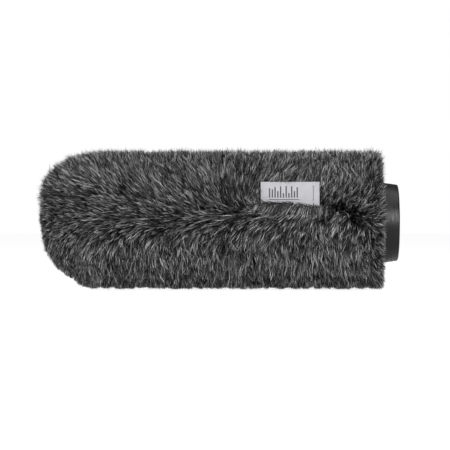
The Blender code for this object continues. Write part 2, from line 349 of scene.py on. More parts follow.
@dataclass(frozen=True)
class StrandFinish(Finish):
    """Fur fibres, each of its own grey, darkened towards the root by painted shade of the deep coat.

    The strand's map holds its tone across and the way from root to tip along, so one small
    picture of it serves every strand.
    """

    name: str = "grey_fur_fibre"
    slot: str = "fur"

    def build(self, nodes: Nodes) -> None:
        """Multiply the fibre's own grey by painted shade that is darkest at the root and gone at the tip.
        """
        own = nodes.add("UVMap", uv_map=BAKE_MAP)
        parts = nodes.add("SeparateXYZ")
        nodes.link(own.outputs["UV"], parts.inputs[0])
        tone = nodes.ramp(
            parts.outputs["X"],
            [(0.0, 0.004), (0.3, 0.016), (0.5, 0.07), (0.7, 0.32), (1.0, 0.90)],
        )
        # Painted shade of the deep coat: the strand darkens from its tip to its root.
        along = nodes.ramp(parts.outputs["Y"], [(0.0, 0.03), (0.5, 0.13), (0.85, 0.85), (1.0, 1.0)])
        nodes.colour(nodes.mix("MULTIPLY", 1.0, tone, along))
        nodes.put(Roughness=0.52, Specular_IOR_Level=0.35)


@dataclass(frozen=True)
class UnderfurFinish(Finish):
    """The dense underfur between the long strands, near black with painted shade of the deep coat."""

    name: str = "underfur_painted_shade"
    slot: str = "fur"

    def build(self, nodes: Nodes) -> None:
        """Speckle it finely and break up its surface."""
        fine = nodes.noise(900.0, 4.0)
        # Near-black speckled colour: painted shade deep in the coat.
        nodes.colour(nodes.ramp(fine, [(0.3, 0.006), (0.7, 0.022)]))
        nodes.bump(fine, 0.0008)
        nodes.put(Roughness=0.95, Specular_IOR_Level=0.1)


@dataclass(frozen=True)
class RubberFinish(Finish):
    """Moulded black rubber with a faint mould grain and scuffs."""

    name: str = "moulded_black_rubber"
    slot: str = "rubber"

    def build(self, nodes: Nodes) -> None:
        """Grain the surface, and vary its gloss in fine rings from pulling it on and off."""
        grain = nodes.noise(3500.0, 2.0)
        wear = nodes.noise(110.0, 6.0)
        stretched = nodes.add("VectorMath", operation="MULTIPLY")
        stretched.inputs[1].default_value = (12.0, 1.0, 1.0)
        nodes.link(nodes.place(), stretched.inputs[0])
        rings = nodes.noise(110.0, 4.0, stretched.outputs[0])
        nodes.colour(nodes.ramp(wear, [(0.3, (0.004, 0.004, 0.0045)), (0.75, (0.008, 0.008, 0.0085))]))
        nodes.roughness(nodes.ramp(rings, [(0.35, 0.22), (0.65, 0.46)]))
        nodes.bump(grain, 0.00004, 0.6)
        nodes.put(Specular_IOR_Level=0.3)


@dataclass(frozen=True)
class FoamFinish(Finish):
    """Open-cell charcoal foam with visible pores."""

    name: str = "charcoal_foam"
    slot: str = "foam"

    def build(self, nodes: Nodes) -> None:
        """Darken and sink the cells."""
        cells = nodes.add("TexVoronoi")
        cells.inputs["Scale"].default_value = 1400.0
        nodes.link(nodes.place(), cells.inputs["Vector"])
        depth = cells.outputs["Distance"]
        nodes.colour(nodes.ramp(depth, [(0.1, 0.012), (0.6, 0.075)]))
        nodes.bump(depth, 0.0004)
        nodes.put(Roughness=0.95, Specular_IOR_Level=0.2)


@dataclass(frozen=True)
class KnitFinish(Finish):
    """The dark knitted backing of the fur, in fine ribs along the windscreen."""

    name: str = "knitted_backing"
    slot: str = "backing"
    loops_per_metre: float = 900.0

    def build(self, nodes: Nodes) -> None:
        """Cross two waves into loops."""
        heights = []
        for direction in ("X", "DIAGONAL"):
            wave = nodes.add("TexWave", bands_direction=direction)
            wave.inputs["Scale"].default_value = self.loops_per_metre / 6.0
            wave.inputs["Distortion"].default_value = 0.4
            nodes.link(nodes.place(), wave.inputs["Vector"])
            heights.append(wave.outputs["Fac"])
        knit = nodes.maths("MULTIPLY", *heights)
        nodes.colour(nodes.ramp(knit, [(0.0, 0.014), (1.0, 0.05)]))
        nodes.bump(knit, 0.0003)
        nodes.put(Roughness=0.9, Specular_IOR_Level=0.2)


@dataclass(frozen=True)
class TapeFinish(Finish):
    """Black twill tape."""

    name: str = "black_twill_tape"
    slot: str = "backing"

    def build(self, nodes: Nodes) -> None:
        """Slant a fine wave across the tape."""
        wave = nodes.add("TexWave", bands_direction="DIAGONAL")
        wave.inputs["Scale"].default_value = 260.0
        nodes.link(nodes.place(), wave.inputs["Vector"])
        nodes.colour(nodes.ramp(wave.outputs["Fac"], [(0.0, 0.010), (1.0, 0.042)]))
        nodes.bump(wave.outputs["Fac"], 0.00015)
        nodes.put(Roughness=0.8, Specular_IOR_Level=0.3)


@dataclass(frozen=True)
class LabelFinish(Finish):
    """Silver-grey woven satin, with a generic sound-level motif in dark thread.

    The label's map runs across its width in u, and in v from the tail's end up to the free
    edge at one half, and back down the other face.
    """

    name: str = "woven_satin_label"
    slot: str = "label"
    bars: int = 11
    bars_start: float = 0.14
    bars_pitch: float = 0.047
    bars_foot: float = 0.64
    bars_height: float = 0.25
    rule: tuple[float, float] = (-0.05, -0.035)
    edge_across: tuple[float, float] = (0.885, 0.905)
    edge_rise: tuple[float, float] = (0.56, 0.90)
    dashes: float = 22.0
    dash_share: float = 0.55
    threads_across: float = 165.0
    threads_up: float = 110.0

    def build(self, nodes: Nodes) -> None:
        """Weave the satin, then work the motif into it."""
        own = nodes.add("UVMap", uv_map=BAKE_MAP)
        parts = nodes.add("SeparateXYZ")
        nodes.link(own.outputs["UV"], parts.inputs[0])
        across = parts.outputs["X"]
        folded = nodes.maths("PINGPONG", parts.outputs["Y"], 0.5)
        rise = nodes.maths("MULTIPLY", folded, 2.0)
        warp = nodes.maths("SINE", nodes.maths("MULTIPLY", across, self.threads_across * math.tau))
        weft = nodes.maths("SINE", nodes.maths("MULTIPLY", rise, self.threads_up * math.tau))
        weave = nodes.maths("MULTIPLY_ADD", nodes.maths("MULTIPLY", warp, weft), 0.5, 0.5)
        motif = self.motif(nodes, across, rise)
        satin = nodes.ramp(weave, [(0.0, (0.335, 0.33, 0.352)), (1.0, (0.485, 0.48, 0.502))])
        # The satin darkens by up to a tenth in soft random patches.
        soft_patches = nodes.ramp(nodes.noise(120.0, 5.0), [(0.35, 0.90), (0.65, 1.0)])
        cloth = nodes.mix("MULTIPLY", 1.0, satin, soft_patches)
        nodes.colour(nodes.mix("MIX", motif, cloth, (0.055, 0.055, 0.062)))
        nodes.bump(weave, 0.00006, 0.5)
        nodes.put(Roughness=0.5, Specular_IOR_Level=0.4, Sheen_Weight=0.15)

    def motif(self, nodes: Nodes, across: Socket, rise: Socket) -> Socket:
        """Where the dark thread lies: a row of bars, a thin rule below it and a dashed edge.

        Bar k stands at the start plus k pitches, half a pitch wide, and rises from its foot by
        the height times 0.3 + 0.7 |sin(1.7 k + 0.8)|.

        Args:
            nodes: The material's nodes.
            across: The way over the label's width, 0 to 1.
            rise: The way from the tail's end to the free edge, 0 to 1.

        Returns:
            1 on the dark thread and 0 elsewhere.
        """
        place = nodes.maths("DIVIDE", nodes.maths("SUBTRACT", across, self.bars_start), self.bars_pitch)
        number = nodes.maths("FLOOR", place)
        swing = nodes.maths("SINE", nodes.maths("MULTIPLY_ADD", number, 1.7, 0.8))
        share = nodes.maths("MULTIPLY_ADD", nodes.maths("ABSOLUTE", swing), 0.7, 0.3)
        level = nodes.maths("SUBTRACT", rise, self.bars_foot)
        last = self.bars_start + self.bars_pitch * self.bars
        bars = nodes.product(
            nodes.maths("LESS_THAN", nodes.maths("FRACT", place), 0.5),
            nodes.between(place, 0.0, float(self.bars)),
            nodes.maths("LESS_THAN", level, nodes.maths("MULTIPLY", share, self.bars_height)),
            nodes.maths("GREATER_THAN", level, 0.0),
        )
        beside = nodes.between(across, self.bars_start, last)
        rule = nodes.product(beside, nodes.between(level, *self.rule))
        dashes = nodes.maths("FRACT", nodes.maths("MULTIPLY", rise, self.dashes))
        edge = nodes.product(
            nodes.between(across, *self.edge_across),
            nodes.between(rise, *self.edge_rise),
            nodes.maths("LESS_THAN", dashes, self.dash_share),
        )
        return nodes.maths("MAXIMUM", nodes.maths("MAXIMUM", bars, rule), edge)


@dataclass(frozen=True)
class ThreadFinish(Finish):
    """Black sewing thread with a soft gloss."""

    name: str = "black_thread"
    slot: str = "thread"

    def build(self, nodes: Nodes) -> None:
        """Twist it with a fine wave."""
        wave = nodes.add("TexWave", bands_direction="DIAGONAL")
        wave.inputs["Scale"].default_value = 900.0
        nodes.link(nodes.place(), wave.inputs["Vector"])
        nodes.colour(nodes.ramp(wave.outputs["Fac"], [(0.0, 0.012), (1.0, 0.05)]))
        nodes.put(Roughness=0.55, Specular_IOR_Level=0.4)


# The frame's measures ------------------------------------------------------------------------
@dataclass(frozen=True)
class Measures:
    """Places of the windscreen's pieces, read from the frame."""

    axis_height: float
    pile_radius: float
    foam_radius: float
    dome_x: float
    rear_x: float
    hem_x: float
    collar_rear_x: float
    label_low_x: float
    label_high_x: float
    label_top: float
    fold_y: float
    fold_z: float

    @property
    def seam_angle(self) -> float:
        """How far above the middle the seam runs on the label's side, in radians."""
        return math.atan2(self.fold_z - self.axis_height, -self.fold_y)

    @classmethod
    def read(cls) -> "Measures":
        """Work the measures out from the nodes' boxes and the label's joint."""
        nose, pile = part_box("foam_nose"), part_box("fur_pile_upper")
        tape, collar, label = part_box("hem_tape"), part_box("rubber_collar"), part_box("label_flap")
        foam_radius = (nose[1][2] - nose[0][2]) / 2
        axis_height = (nose[1][2] + nose[0][2]) / 2
        fold = frame["joints"][0]["pos_m"]
        return cls(
            axis_height=axis_height,
            pile_radius=pile[1][2] - axis_height,
            foam_radius=foam_radius,
            dome_x=nose[0][0] + foam_radius,
            rear_x=pile[1][0],
            hem_x=tape[1][0],
            collar_rear_x=collar[1][0],
            label_low_x=label[0][0],
            label_high_x=label[1][0],
            label_top=label[1][2],
            fold_y=fold[1],
            fold_z=fold[2],
        )


@dataclass(frozen=True)
class Shell:
    """A round shell: a dome, a straight body and a rounded rear shoulder.

    The points of a shell are measured from the windscreen's axis, so z is height above it.
    """

    radius: float
    dome_x: float
    shoulder_x: float
    shoulder: float
    crowding: float = 0.9

    def snap(self, points: Array) -> tuple[Array, Array]:
        """Bring points onto the shell.

        The dome is a sphere about its centre, the body a cylinder about the axis, and the
        shoulder a quarter of a torus about the ring at its inner radius.

        Args:
            points: Places near the shell, shape (..., 3).

        Returns:
            The nearest places on the shell and its normals there.
        """
        x = points[..., :1]
        around = points * (0.0, 1.0, 1.0)
        radial = unit(around)
        core_x = np.clip(x, self.dome_x, self.shoulder_x)
        ring = np.where(x > self.shoulder_x, self.radius - self.shoulder, 0.0) * radial
        centre = ring + core_x * (1.0, 0.0, 0.0)
        normal = unit(points - centre)
        reach = np.where(x > self.shoulder_x, self.shoulder, self.radius)
        return centre + normal * reach, normal

    def profile(self, steps: int) -> Array:
        """Points (x, radius) from the dome's tip to the shoulder's end, evenly spaced."""
        dome, body = self.radius * math.pi / 2, self.shoulder_x - self.dome_x
        run = np.linspace(0.0, dome + body + self.shoulder * math.pi / 2, steps)
        rise = np.clip(run / self.radius, 0.0, math.pi / 2)
        fall = np.clip((run - dome - body) / self.shoulder, 0.0, math.pi / 2)
        x = self.dome_x - self.radius * np.cos(rise) + np.clip(run - dome, 0.0, body)
        x = x + self.shoulder * np.sin(fall)
        return np.stack([x, self.radius * np.sin(rise) - self.shoulder * (1.0 - np.cos(fall))], -1)

    def spread(self, count: int, seed: int) -> Array:
        """Places spread evenly over the shell by area, with a little jitter.

        The plastic-number sequence gives an even share of the area and of the turn.

        Args:
            count: How many places.
            seed: Seed of the jitter.

        Returns:
            Places on the shell, shape (count, 3).
        """
        profile = self.profile(600)
        steps = np.linalg.norm(np.diff(profile, axis=0), axis=1)
        behind = smoothstep(-0.002, 0.003, profile[1:, 0] - self.shoulder_x)
        steps = steps * (1.0 + self.crowding * behind)
        area = np.concatenate([[0.0], np.cumsum(steps * (profile[1:, 1] + profile[:-1, 1]))])
        plastic = 1.32471795724474602596
        index = np.arange(count)
        jitter = np.random.default_rng(seed).uniform(-0.4, 0.4, (count, 2)) / math.sqrt(count)
        share = np.clip((0.5 + index / plastic) % 1.0 + jitter[:, 0], 0.0, 1.0) * area[-1]
        turn = ((0.5 + index / plastic**2) % 1.0 + jitter[:, 1]) * math.tau
        x = np.interp(share, area, profile[:, 0])
        radius = np.interp(share, area, profile[:, 1])
        return np.stack([x, radius * np.cos(turn), radius * np.sin(turn)], -1)


# Grooming ------------------------------------------------------------------------------------
# Guide hairs on the label's side, in rows along the windscreen. Each row has its height above the
# axis, and each guide its place along the axis, both in millimetres, and the heading that it is
# combed in: 0 degrees towards the collar, 90 upwards, 180 towards the nose and 270 downwards.
GUIDE_ROWS = (
    (41, ((-92, 140), (-65, 135), (-30, 138), (-5, 118), (15, 88), (42, 42), (60, 42), (76, 95))),
    (41, ((92, 122), (112, 95))),
    (29, ((-112, 150), (-77, 146), (-45, 128), (-20, 134), (0, 105), (15, 80), (32, 55), (76, 66))),
    (29, ((92, 66), (106, 118))),
    (17, ((-112, 168), (-77, 165), (-45, 150), (-15, 148), (0, 125), (15, 75), (28, 90), (76, 60))),
    (17, ((90, 50), (107, 30))),
    (5, ((-112, 176), (-77, 171), (-45, 164), (-18, 172), (0, 178), (15, 196), (32, 205))),
    (5, ((50, 212), (62, 240), (76, 245), (92, 232), (106, 40), (115, 25))),
    (-8, ((-112, 222), (-95, 214), (-77, 202), (-45, 208), (-18, 226), (0, 264), (15, 260))),
    (-8, ((30, 246), (45, 260), (62, 276), (76, 264), (92, 246), (107, 256), (116, 280))),
    (-20, ((-112, 262), (-90, 264), (-65, 276), (-40, 292), (-18, 278), (15, 264), (45, 268))),
    (-20, ((80, 270), (112, 285))),
    (-32, ((-100, 296), (-80, 284), (-65, 276), (-35, 284), (10, 276), (50, 266))),
    (-32, ((76, 282), (112, 290))),
)


@dataclass(frozen=True)
class Grooming:
    """The direction that the fur is combed in, from the guide hairs near each place."""

    shell: Shell
    outer_radius: float
    reach: float = 0.008
    ahead: float = 0.006
    full_agreement: float = 0.6

    def unrolled(self, points: Array, normals: Array) -> Array:
        """Places (x, arc height) on the outer fur, unrolled from the label's side.

        On the dome the height's arc comes from the normal, elsewhere from the turn about the
        axis, so both join at the dome's edge.
        """
        on_dome = points[:, 0] < self.shell.dome_x
        radial = unit(points * (0.0, 1.0, 1.0))
        rise = np.where(on_dome, normals[:, 2], radial[:, 2])
        growth = (self.outer_radius - self.shell.radius) * normals[:, 0]
        x = points[:, 0] + np.where(on_dome, growth, 0.0)
        return np.stack([x, self.outer_radius * np.arcsin(np.clip(rise, -1.0, 1.0))], -1)

    def headings(self, places: Array) -> Array:
        """The guides' mean heading at unrolled places, weighted by a bell of their distance.

        Where guides disagree, as along a parting, the heading shortens and the hair stands up.
        """
        guides = np.array([(x, height, turn) for height, row in GUIDE_ROWS for x, turn in row])
        at = guides[:, :2] / 1000.0
        at[:, 1] = self.outer_radius * np.arcsin(at[:, 1] / self.outer_radius)
        turns = np.radians(guides[:, 2])
        ways = np.stack([np.cos(turns), np.sin(turns)], -1)
        apart = ((places[:, None, :] - at[None]) ** 2).sum(axis=-1)
        weights = np.exp(-(apart - apart.min(axis=1, keepdims=True)) / (2.0 * self.reach**2))
        mean = (weights @ ways) / weights.sum(axis=1, keepdims=True)
        agreed = np.linalg.norm(mean, axis=-1, keepdims=True)
        return unit(mean) * smoothstep(0.0, self.full_agreement, agreed)

    def comb(self, points: Array, normals: Array) -> Array:
        """The combed direction at places on the shell.

        The side away from the label is groomed as this one turned half round the axis. Each
        heading is read again a little way along itself, because the guides show where the
        strands end up and not where they grow.

        Args:
            points: Places on the shell, shape (n, 3).
            normals: The shell's normals there.

        Returns:
            Vectors in the shell's tangent plane, no longer than one.
        """
        away = points[:, 1:2] > 0.0
        half_turn = np.where(away, (1.0, -1.0, -1.0), (1.0, 1.0, 1.0))
        places = self.unrolled(points * half_turn, normals * half_turn)
        flat = self.headings(places + self.ahead * self.headings(places))
        heading = np.stack([flat[:, 0], np.zeros(len(flat)), flat[:, 1]], -1) * half_turn
        return heading - dot(heading, normals) * normals


# Fur -----------------------------------------------------------------------------------------
# How far the coat of the nose stands from the dome's centre, in millimetres, by the height of
# its direction: -1 straight down, 0 level, 1 straight up.
NOSE_COAT = (
    (-1.0, 48.5), (-0.78, 47.2), (-0.41, 48.6), (-0.09, 46.6),
    (0.23, 49.4), (0.49, 54.6), (0.77, 56.0), (1.0, 52.5),
)


class Panel(Enum):
    """The two panels of fur, above and below the seam."""

    UPPER = "upper"
    LOWER = "lower"


class Band(Enum):
    """The stretches that each panel's strands are kept in, from the nose to the collar."""

    NOSE = "nose"
    FRONT = "front"
    MIDDLE = "middle"
    LABEL = "label"
    REAR = "rear"


def half_turned(profile: Array, panel: Panel, columns: int) -> Array:
    """Carry an (x, radius) profile round one panel's half-turn, from the label's side across.

    Column a of row (x, r) lies at (x, -r cos a, +-r sin a), with a from 0 to 180 degrees.
    """
    turn = np.radians(np.linspace(0.0, 180.0, columns))
    side = 1.0 if panel is Panel.UPPER else -1.0
    x = np.broadcast_to(profile[:, :1], (len(profile), columns))
    return np.stack([x, -profile[:, 1:] * np.cos(turn), profile[:, 1:] * np.sin(turn) * side], axis=-1)


def in_seam_plane(points: Array, panel: Panel, slope: float, gap: float = 0.0005) -> Array:
    """Keep a panel's points off the seam by a gap, and turn them to the seam's slope."""
    side = 1.0 if panel is Panel.UPPER else -1.0
    y = points[..., 1]
    z = side * np.maximum(points[..., 2] * side, gap)
    turned_y = y * math.cos(slope) + z * math.sin(slope)
    turned_z = z * math.cos(slope) - y * math.sin(slope)
    return np.stack([points[..., 0], turned_y, turned_z], axis=-1)


@dataclass
class LabelSpace:
    """The space that the woven label hangs and swings in, seen from its fold line."""

    measures: Measures
    lean: float = math.radians(5.0)
    swing: float = math.radians(134.0)
    gap: float = 0.0007
    wall_slope: float = 1.6
    margin: float = 0.0008

    def __post_init__(self) -> None:
        """Set the directions up the flap and out from it."""
        self.up = np.array([0.0, math.sin(self.lean), math.cos(self.lean)])
        self.out = np.array([0.0, -math.cos(self.lean), math.sin(self.lean)])
        m = self.measures
        self.fold = np.array([0.0, m.fold_y, m.fold_z - m.axis_height])
        self.fold_world = np.array([0.0, m.fold_y, m.fold_z])
        self.height = (m.label_top - m.fold_z) / math.cos(self.lean)

    def beside(self, points: Array) -> Array:
        """How far places are past the nearer of the label's side edges."""
        m = self.measures
        return np.maximum(m.label_low_x - points[..., 0], points[..., 0] - m.label_high_x)

    def outside(self, points: Array, rise: Array) -> Array:
        """How far places are from the flap's outline, measured in its plane."""
        return np.hypot(np.maximum(self.beside(points), 0.0), np.maximum(rise - self.height, 0.0))

    def clear(self, points: Array) -> Array:
        """Press strands in behind the flap, and down out of the space that it swings through.

        Behind the outline a point may stand out no further than the gap below the flap, plus
        a share of its distance from the outline. In front, a point in the swing is turned
        about the fold line to just past the swing's end.

        Args:
            points: Strand points from the axis, shape (..., 3).

        Returns:
            The points with the label's space cleared.
        """
        from_fold = points - self.fold
        rise, stand = from_fold @ self.up, from_fold @ self.out
        outside = self.outside(points, rise)
        limit = -self.gap + self.wall_slope * np.maximum(outside - self.margin, 0.0)
        near = (rise > 0.0) & (points[..., 1] < 0.0)
        pressed = np.where(near & (stand > limit), limit - stand, 0.0)
        points = points + pressed[..., None] * self.out
        rise, stand = (points - self.fold) @ self.up, (points - self.fold) @ self.out
        angle = np.arctan2(stand, rise)
        reach = np.hypot(stand, rise)
        swept = (angle > 0.0) & (angle < self.swing) & (reach < self.height)
        swept &= self.beside(points) < self.margin
        turned = np.where(swept & (points[..., 1] < 0.0), self.swing, angle)
        shift = (reach * np.cos(turned) - rise)[..., None] * self.up
        return points + shift + (reach * np.sin(turned) - stand)[..., None] * self.out


@dataclass
class Strands:
    """Tapered flat strands, as arrays.

    spine holds each strand's points from root to tip, across the unit vector over its width
    at each point, and tone its place in the greys.
    """

    spine: Array
    across: Array
    width: Array
    tone: Array
    tone_step: float = 0.012

    def mesh(self, name: str, chosen: Array) -> bpy.types.Mesh:
        """Build the chosen strands as one mesh.

        Every strand is a ribbon of quads that ends in one triangle at its tip. Half its width,
        which falls as (1 - t^1.6), is laid off to both sides of the spine.

        Args:
            name: The mesh's name.
            chosen: Which strands, as a mask or as numbers.

        Returns:
            The mesh, with its tone and length in the map that the fibre finish reads.
        """
        spine, across = self.spine[chosen], self.across[chosen]
        count, rings = spine.shape[:2]
        way = np.linspace(0.0, 1.0, rings)
        half = self.width[chosen][:, None] * (1.0 - way**1.6) / 2
        sides = across * half[..., None]
        left, right = spine - sides, spine + sides
        pairs = np.stack([left[:, :-1], right[:, :-1]], axis=2).reshape(count, -1, 3)
        points = np.concatenate([pairs, spine[:, -1:]], axis=1)
        per_strand = points.shape[1]
        quads = [(2 * i, 2 * i + 1, 2 * i + 3, 2 * i + 2) for i in range(rings - 2)]
        end = [per_strand - 3, per_strand - 2, per_strand - 1]
        corners = np.array([corner for quad in quads for corner in quad] + end)
        starts = np.array([4 * i for i in range(rings - 1)])
        first = np.arange(count)[:, None]
        mesh = bpy.data.meshes.new(name)
        mesh.vertices.add(count * per_strand)
        mesh.vertices.foreach_set("co", points.astype(np.float32).ravel())
        mesh.loops.add(count * len(corners))
        mesh.loops.foreach_set("vertex_index", (corners + first * per_strand).astype(np.int32).ravel())
        mesh.polygons.add(count * len(starts))
        mesh.polygons.foreach_set("loop_start", (starts + first * len(corners)).astype(np.int32).ravel())
        mesh.polygons.foreach_set("use_smooth", np.full(count * len(starts), True))
        mesh.update(calc_edges=True)
        side = np.append(np.tile([0.0, 1.0], rings - 1), 0.5)[corners]
        length = np.append(np.repeat(way[:-1], 2), 1.0)[corners]
        tone = self.tone[chosen][:, None] * (1.0 - self.tone_step) + side * self.tone_step
        layer = mesh.uv_layers.new(name=BAKE_MAP)
        uv = np.stack(np.broadcast_arrays(tone, length[None]), axis=-1)
        layer.uv.foreach_set("vector", uv.astype(np.float32).ravel())
        return mesh


@dataclass
class FurCover:
    """The long fur: locks of tufts of strands, over underfur that hides the backing.

    A depth is how far below the coat's surface a tip ends, a sway is a share of a heading's
    length, and a tone is a place in the greys from 0 to 1.
    """

    measures: Measures
    seed: int = 20
    strand_points: int = 4
    locks: int = 2350
    tufts_per_lock: int = 20
    strands_per_tuft: int = 7
    fringe_strands: int = 1100
    lock_radius: float = 0.0042
    tuft_radius: float = 0.0008
    lock_pull: float = 0.12
    tuft_pull: float = 0.6
    lock_sway: float = 0.13
    lock_sway_kept: float = 0.6
    tuft_sway: float = 0.22
    strand_sway: float = 0.22
    lock_depth: float = 0.0005
    tuft_depth: float = 0.0032
    strand_depth: float = 0.0015
    guard_share: float = 0.10
    guard_length: float = 0.0042
    strand_width: float = 0.00068
    lean: float = 0.2
    lie_over: float = 0.58
    least_gain: float = 0.42
    upright_share: float = 0.6
    upright_rear: float = 0.75
    underfur_radius: float = 0.040
    underfur_sunk: float = 0.0010
    underfur_rough: float = 0.0007
    seam_groove: float = 0.0025
    shoulder: float = 0.0085
    fluff: float = 0.0026
    rear_reach: float = 0.0015
    rear_sag: float = 0.0022
    longest_stray: float = 0.0055
    rear_neatness: float = 0.75
    floor_gap: float = 0.0002
    floor_trim: float = 0.0022
    floor_ragged: float = 0.0012
    tone: float = 0.43
    drift_tone: float = 0.03
    tuft_tone: float = 0.18
    strand_tone: float = 0.30

    def __post_init__(self) -> None:
        """Lay out the shell that the strands grow from, and how they are combed."""
        m = self.measures
        self.shell = Shell(self.underfur_radius, m.dome_x, m.hem_x - self.shoulder + 0.001, self.shoulder)
        self.grooming = Grooming(self.shell, m.pile_radius)
        self.label_space = LabelSpace(m)

    def scatter(self, parents: Array, normals: Array, count: int, radius: float, seed: int) -> Array:
        """Places of children round each parent.

        Child k lies at radius times sqrt((k + 1/2) / count) and at k golden angles, turned and
        jittered for each parent, in the tangent plane and then brought back onto the shell.

        Args:
            parents: Places on the shell, shape (n, 3).
            normals: The shell's normals there.
            count: Children for each parent.
            radius: How far out they lie.
            seed: Seed of the turn and jitter.

        Returns:
            Places on the shell, shape (n * count, 3), parent by parent.
        """
        draw = np.random.default_rng(seed)
        k = np.arange(count)[None, :]
        turn = k * math.radians(137.508) + draw.uniform(0.0, math.tau, (len(parents), 1))
        out = radius * np.sqrt((k + 0.5) / count) + draw.normal(0.0, radius * 0.12, (len(parents), count))
        first = unit(np.cross(normals, (0.31, 0.52, 0.79)))
        second = np.cross(normals, first)
        offset = (out * np.cos(turn))[..., None] * first[:, None]
        offset = offset + (out * np.sin(turn))[..., None] * second[:, None]
        return self.shell.snap((parents[:, None] + offset).reshape(-1, 3))[0]

    def coat_depth(self, roots: Array, normals: Array) -> Array:
        """How far the coat's surface stands from the shell, along its normals.

        At the rear the coat fills a square corner: the reach is the shorter way from the
        shoulder's ring to the coat's end or to its outside. Ahead of the dome's edge the coat
        blends into the nose's own profile.

        Args:
            roots: Places on the shell, shape (..., 3).
            normals: The shell's normals there.

        Returns:
            The distances, shape (..., 1).
        """
        m, shell = self.measures, self.shell
        outer = m.pile_radius + self.fluff
        ring = shell.radius - shell.shoulder
        backward = np.maximum(normals[..., :1], 1e-3)
        outward = np.maximum(np.linalg.norm(normals[..., 1:], axis=-1, keepdims=True), 1e-3)
        low = smoothstep(0.2, 0.9, -normals[..., 2:])
        to_end = (m.rear_x + self.rear_reach + self.rear_sag * low - shell.shoulder_x) / backward
        to_side = (outer - ring) / outward
        corner = np.minimum(to_end, to_side) - shell.shoulder
        rises, radii = np.array(NOSE_COAT).T
        nose = np.interp(normals[..., 2:], rises, radii / 1000.0)
        ahead = smoothstep(0.1, 0.5, -normals[..., :1])
        plain = outer + ahead * (nose - outer) - shell.radius
        return np.where(roots[..., :1] > shell.shoulder_x, corner, plain)

    def combed(self, roots: Array, normals: Array) -> Array:
        """The combed direction, shortened at the rear shoulder, the top and the floor."""
        shoulder_x = self.shell.shoulder_x
        rearward = smoothstep(shoulder_x - 0.004, shoulder_x + self.shoulder, roots[:, :1])
        upright = self.upright_share * smoothstep(0.5, 0.95, np.abs(normals[:, 2:]))
        combed = self.grooming.comb(roots, normals)
        return combed * (1.0 - self.upright_rear * rearward) * (1.0 - upright)

    def paths(self, roots: Array, sway: Array, depth: Array) -> Array:
        """The course of hairs from their roots.

        A hair leaves the shell near its normal n and lies over along the combed direction c:
        its heading is (1 - 0.4 |c| t) n + (lean + lie_over t) c + sway, summed over t from 0 to
        1 and scaled so that its tip ends at its own depth below the coat's surface. Where the
        coat is thin, that depth shrinks in proportion.

        Args:
            roots: Places on the shell, shape (n, 3).
            sway: What each hair strays from the comb by, shape (n, 3).
            depth: How far below the surface each tip ends, shape (n,).

        Returns:
            Points along the hairs, shape (n, strand_points, 3).
        """
        roots, normals = self.shell.snap(roots)
        combed = self.combed(roots, normals)
        lie = np.linalg.norm(combed, axis=-1, keepdims=True)[:, None]
        steps = self.strand_points - 1
        t = ((np.arange(steps) + 0.5) / steps)[None, :, None]
        over = self.lean + self.lie_over * t
        heading = (1.0 - 0.4 * lie * t) * normals[:, None] + over * combed[:, None]
        heading = unit(heading + sway[:, None] * (0.4 + 0.6 * t))
        course = np.cumsum(heading, axis=1) / steps
        gain = np.maximum(dot(course[:, -1], normals), self.least_gain)
        usual = self.measures.pile_radius + self.fluff - self.shell.radius
        target = self.coat_depth(roots, normals) * (1.0 - depth[:, None] / usual)
        course = np.concatenate([np.zeros_like(course[:, :1]), course], axis=1)
        return roots[:, None] + course * (target / gain)[:, None]

    def grow(self) -> Strands:
        """Grow the whole coat.

        Tufts are drawn towards their lock's course and strands towards their tuft's, by a
        share that rises with t, so that the hairs part at the root and gather at the tip.

        Returns:
            All the strands, in the row frame.
        """
        draw = np.random.default_rng(self.seed)
        locks = self.shell.spread(self.locks, self.seed)
        lock_sway = self.lock_sway * draw.normal(size=locks.shape)
        lock_depth = self.lock_depth * draw.normal(size=len(locks))
        lock_paths = self.paths(locks, lock_sway, lock_depth)
        normals = self.shell.snap(locks)[1]

        tufts = self.scatter(locks, normals, self.tufts_per_lock, self.lock_radius, self.seed + 1)
        parent = np.repeat(np.arange(len(locks)), self.tufts_per_lock)
        own_sway = self.tuft_sway * draw.normal(size=tufts.shape)
        tuft_sway = self.lock_sway_kept * lock_sway[parent] + own_sway
        tuft_depth = lock_depth[parent] + self.tuft_depth * np.abs(draw.normal(size=len(tufts)))
        tuft_paths = self.paths(tufts, tuft_sway, tuft_depth)
        t = np.linspace(0.0, 1.0, self.strand_points)[None, :, None]
        tuft_paths += self.lock_pull * t * (lock_paths[parent] - tuft_paths)
        tuft_normals = self.shell.snap(tufts)[1]

        roots = self.scatter(tufts, tuft_normals, self.strands_per_tuft, self.tuft_radius, self.seed + 2)
        parent = np.repeat(np.arange(len(tufts)), self.strands_per_tuft)
        sway = tuft_sway[parent] + self.strand_sway * draw.normal(size=roots.shape)
        depth = tuft_depth[parent] + self.strand_depth * draw.normal(size=len(roots))
        depth -= self.guard_length * (draw.random(len(roots)) < self.guard_share)
        spine = self.paths(roots, sway, depth)
        spine += self.tuft_pull * t**1.2 * (tuft_paths[parent] - spine)
        tone = self.tones(roots, parent, draw)
        return self.finish_strands(spine, tone, draw)

    def tones(self, roots: Array, tuft: Array, draw: np.random.Generator) -> Array:
        """Greys of the strands: a broad drift, each tuft's own and each strand's own."""
        drift = WaveNoise(self.seed + 5, 0.035).at(roots)
        own_tuft = draw.normal(size=tuft.max() + 1)[tuft]
        own = draw.normal(size=len(roots))
        tone = self.tone + self.drift_tone * drift + self.tuft_tone * own_tuft + self.strand_tone * own
        return np.clip(tone, 0.0, 1.0)

